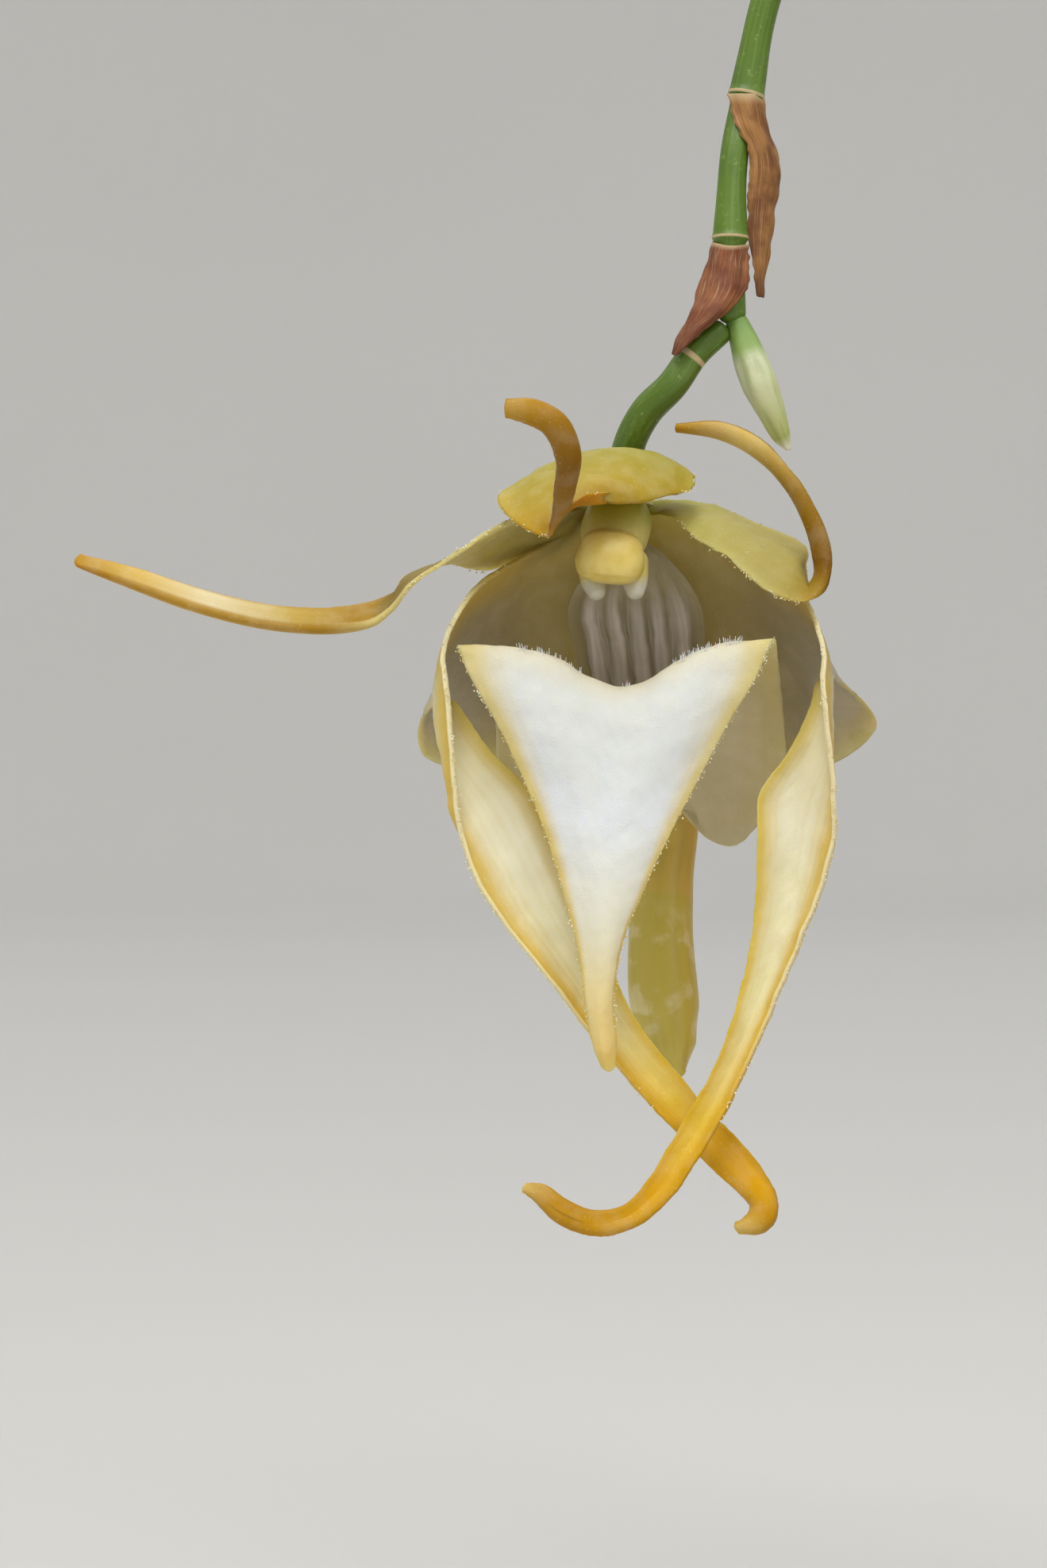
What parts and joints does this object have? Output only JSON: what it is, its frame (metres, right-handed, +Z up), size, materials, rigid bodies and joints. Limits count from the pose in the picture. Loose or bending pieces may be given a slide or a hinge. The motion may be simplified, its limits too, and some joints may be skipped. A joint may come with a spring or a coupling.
{
  "type": "potted aeranthes orchid",
  "caption": "Orchid in a clay pot of bark: a fan of strap leaves and a wiry arching stalk that hangs one pale, long-tailed spider-like flower beside the pot.",
  "frame": {"origin": "centre of the pot's flat base, where it rests", "axes": "+Z up; the flower hangs on the -X side and faces -Y; the leaves fan out along Y"},
  "size_m": [0.2039, 0.3415, 0.2173],
  "materials": {
    "terracotta": "unglazed, matt",
    "bark": "rough",
    "leaf_green": "waxy, half gloss",
    "stem_green": "satin",
    "root_velamen": "matt",
    "stalk_green": "satin",
    "dry_bract": "dry, matt",
    "bud_green": "satin",
    "petal_yellow": "soft, crystalline",
    "lip_white": "soft, crystalline",
    "column_pale": "soft",
    "anther_yellow": "waxy",
    "spur_olive": "translucent, waxy"
  },
  "bodies": {
    "root": {"clay_pot": "terracotta", "potting_medium": "bark", "stem": "stem_green", "leaf_1": "leaf_green", "leaf_2": "leaf_green", "leaf_3": "leaf_green", "leaf_4": "leaf_green", "leaf_5": "leaf_green", "leaf_6": "leaf_green", "root_1": "root_velamen", "root_2": "root_velamen", "root_3": "root_velamen", "root_4": "root_velamen", "flower_stalk": "stalk_green", "dry_sheath_1": "dry_bract", "dry_sheath_2": "dry_bract", "dry_sheath_3": "dry_bract", "dry_sheath_4": "dry_bract", "upper_bract": "dry_bract", "lower_bract": "dry_bract", "pedicel_and_ovary": "stalk_green", "bud": "bud_green", "column": "column_pale", "anther_cap": "anther_yellow", "spur": "spur_olive", "dorsal_sepal": "petal_yellow", "left_petal": "petal_yellow", "right_petal": "petal_yellow", "left_lateral_sepal": "petal_yellow", "right_lateral_sepal": "petal_yellow", "lip": "lip_white"}
  },
  "joints": []
}
